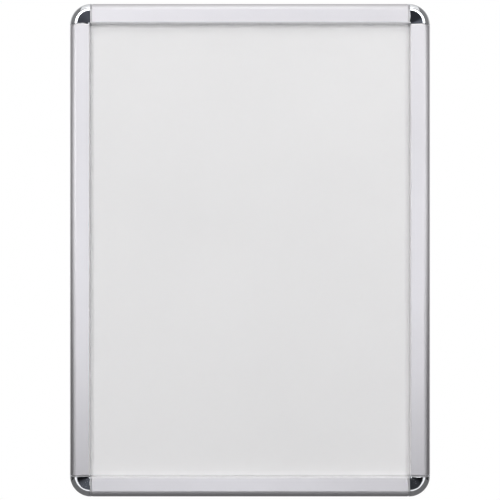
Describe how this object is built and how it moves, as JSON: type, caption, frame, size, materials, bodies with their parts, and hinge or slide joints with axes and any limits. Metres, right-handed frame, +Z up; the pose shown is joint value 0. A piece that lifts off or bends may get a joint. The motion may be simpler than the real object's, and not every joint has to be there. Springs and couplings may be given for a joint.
{
  "type": "poster frame",
  "caption": "Wall-mounted snap-open poster frame: aluminium rails that flip open for front loading, rounded chrome corners, clear cover sheet and white back panel.",
  "frame": {"origin": "centre of the four wall-screw holes, on the wall plane behind the frame", "axes": "+Z up, along the long rails; +Y from the front of the frame towards the wall, along the wall screws; +X to the right as seen from the front"},
  "size_m": [0.544, 0.014, 0.744],
  "materials": {
    "satin_aluminium": "satin anodised",
    "base_aluminium": "mill",
    "chrome": "polished",
    "zinc_plated_steel": "zinc plated",
    "spring_steel": "blued",
    "screw_steel": "zinc plated",
    "white_plastic": "matte",
    "clear_plastic": "clear anti-glare"
  },
  "bodies": {
    "frame": {"top_base_rail": "base_aluminium", "bottom_base_rail": "base_aluminium", "left_base_rail": "base_aluminium", "right_base_rail": "base_aluminium", "top_left_corner_cap": "chrome", "top_right_corner_cap": "chrome", "bottom_left_corner_cap": "chrome", "bottom_right_corner_cap": "chrome", "top_left_corner_key": "zinc_plated_steel", "top_right_corner_key": "zinc_plated_steel", "bottom_left_corner_key": "zinc_plated_steel", "bottom_right_corner_key": "zinc_plated_steel", "back_panel": "white_plastic", "cover_sheet": "clear_plastic", "cap_screws": "screw_steel", "key_screws": "screw_steel", "top_leaf_spring_1": "spring_steel", "top_leaf_spring_2": "spring_steel", "bottom_leaf_spring_1": "spring_steel", "bottom_leaf_spring_2": "spring_steel", "left_leaf_spring_1": "spring_steel", "left_leaf_spring_2": "spring_steel", "left_leaf_spring_3": "spring_steel", "right_leaf_spring_1": "spring_steel", "right_leaf_spring_2": "spring_steel", "right_leaf_spring_3": "spring_steel"},
    "top_flip": {"top_flip_rail": "satin_aluminium"},
    "bottom_flip": {"bottom_flip_rail": "satin_aluminium"},
    "left_flip": {"left_flip_rail": "satin_aluminium"},
    "right_flip": {"right_flip_rail": "satin_aluminium"}
  },
  "joints": [
    {"name": "top_rail_hinge", "type": "hinge", "parent": "frame", "child": "top_flip", "pos_m": [0, -0.00629, 0.36807], "axis": [-1, 0, 0], "range_deg": [0, 90], "deforming": ["top_leaf_spring_1", "top_leaf_spring_2"]},
    {"name": "bottom_rail_hinge", "type": "hinge", "parent": "frame", "child": "bottom_flip", "pos_m": [0, -0.00629, -0.36807], "axis": [1, 0, 0], "range_deg": [0, 90], "deforming": ["bottom_leaf_spring_1", "bottom_leaf_spring_2"]},
    {"name": "left_rail_hinge", "type": "hinge", "parent": "frame", "child": "left_flip", "pos_m": [-0.26807, -0.00629, 0], "axis": [0, 0, -1], "range_deg": [0, 90], "deforming": ["left_leaf_spring_1", "left_leaf_spring_2", "left_leaf_spring_3"]},
    {"name": "right_rail_hinge", "type": "hinge", "parent": "frame", "child": "right_flip", "pos_m": [0.26807, -0.00629, 0], "axis": [0, 0, 1], "range_deg": [0, 90], "deforming": ["right_leaf_spring_1", "right_leaf_spring_2", "right_leaf_spring_3"]}
  ]
}
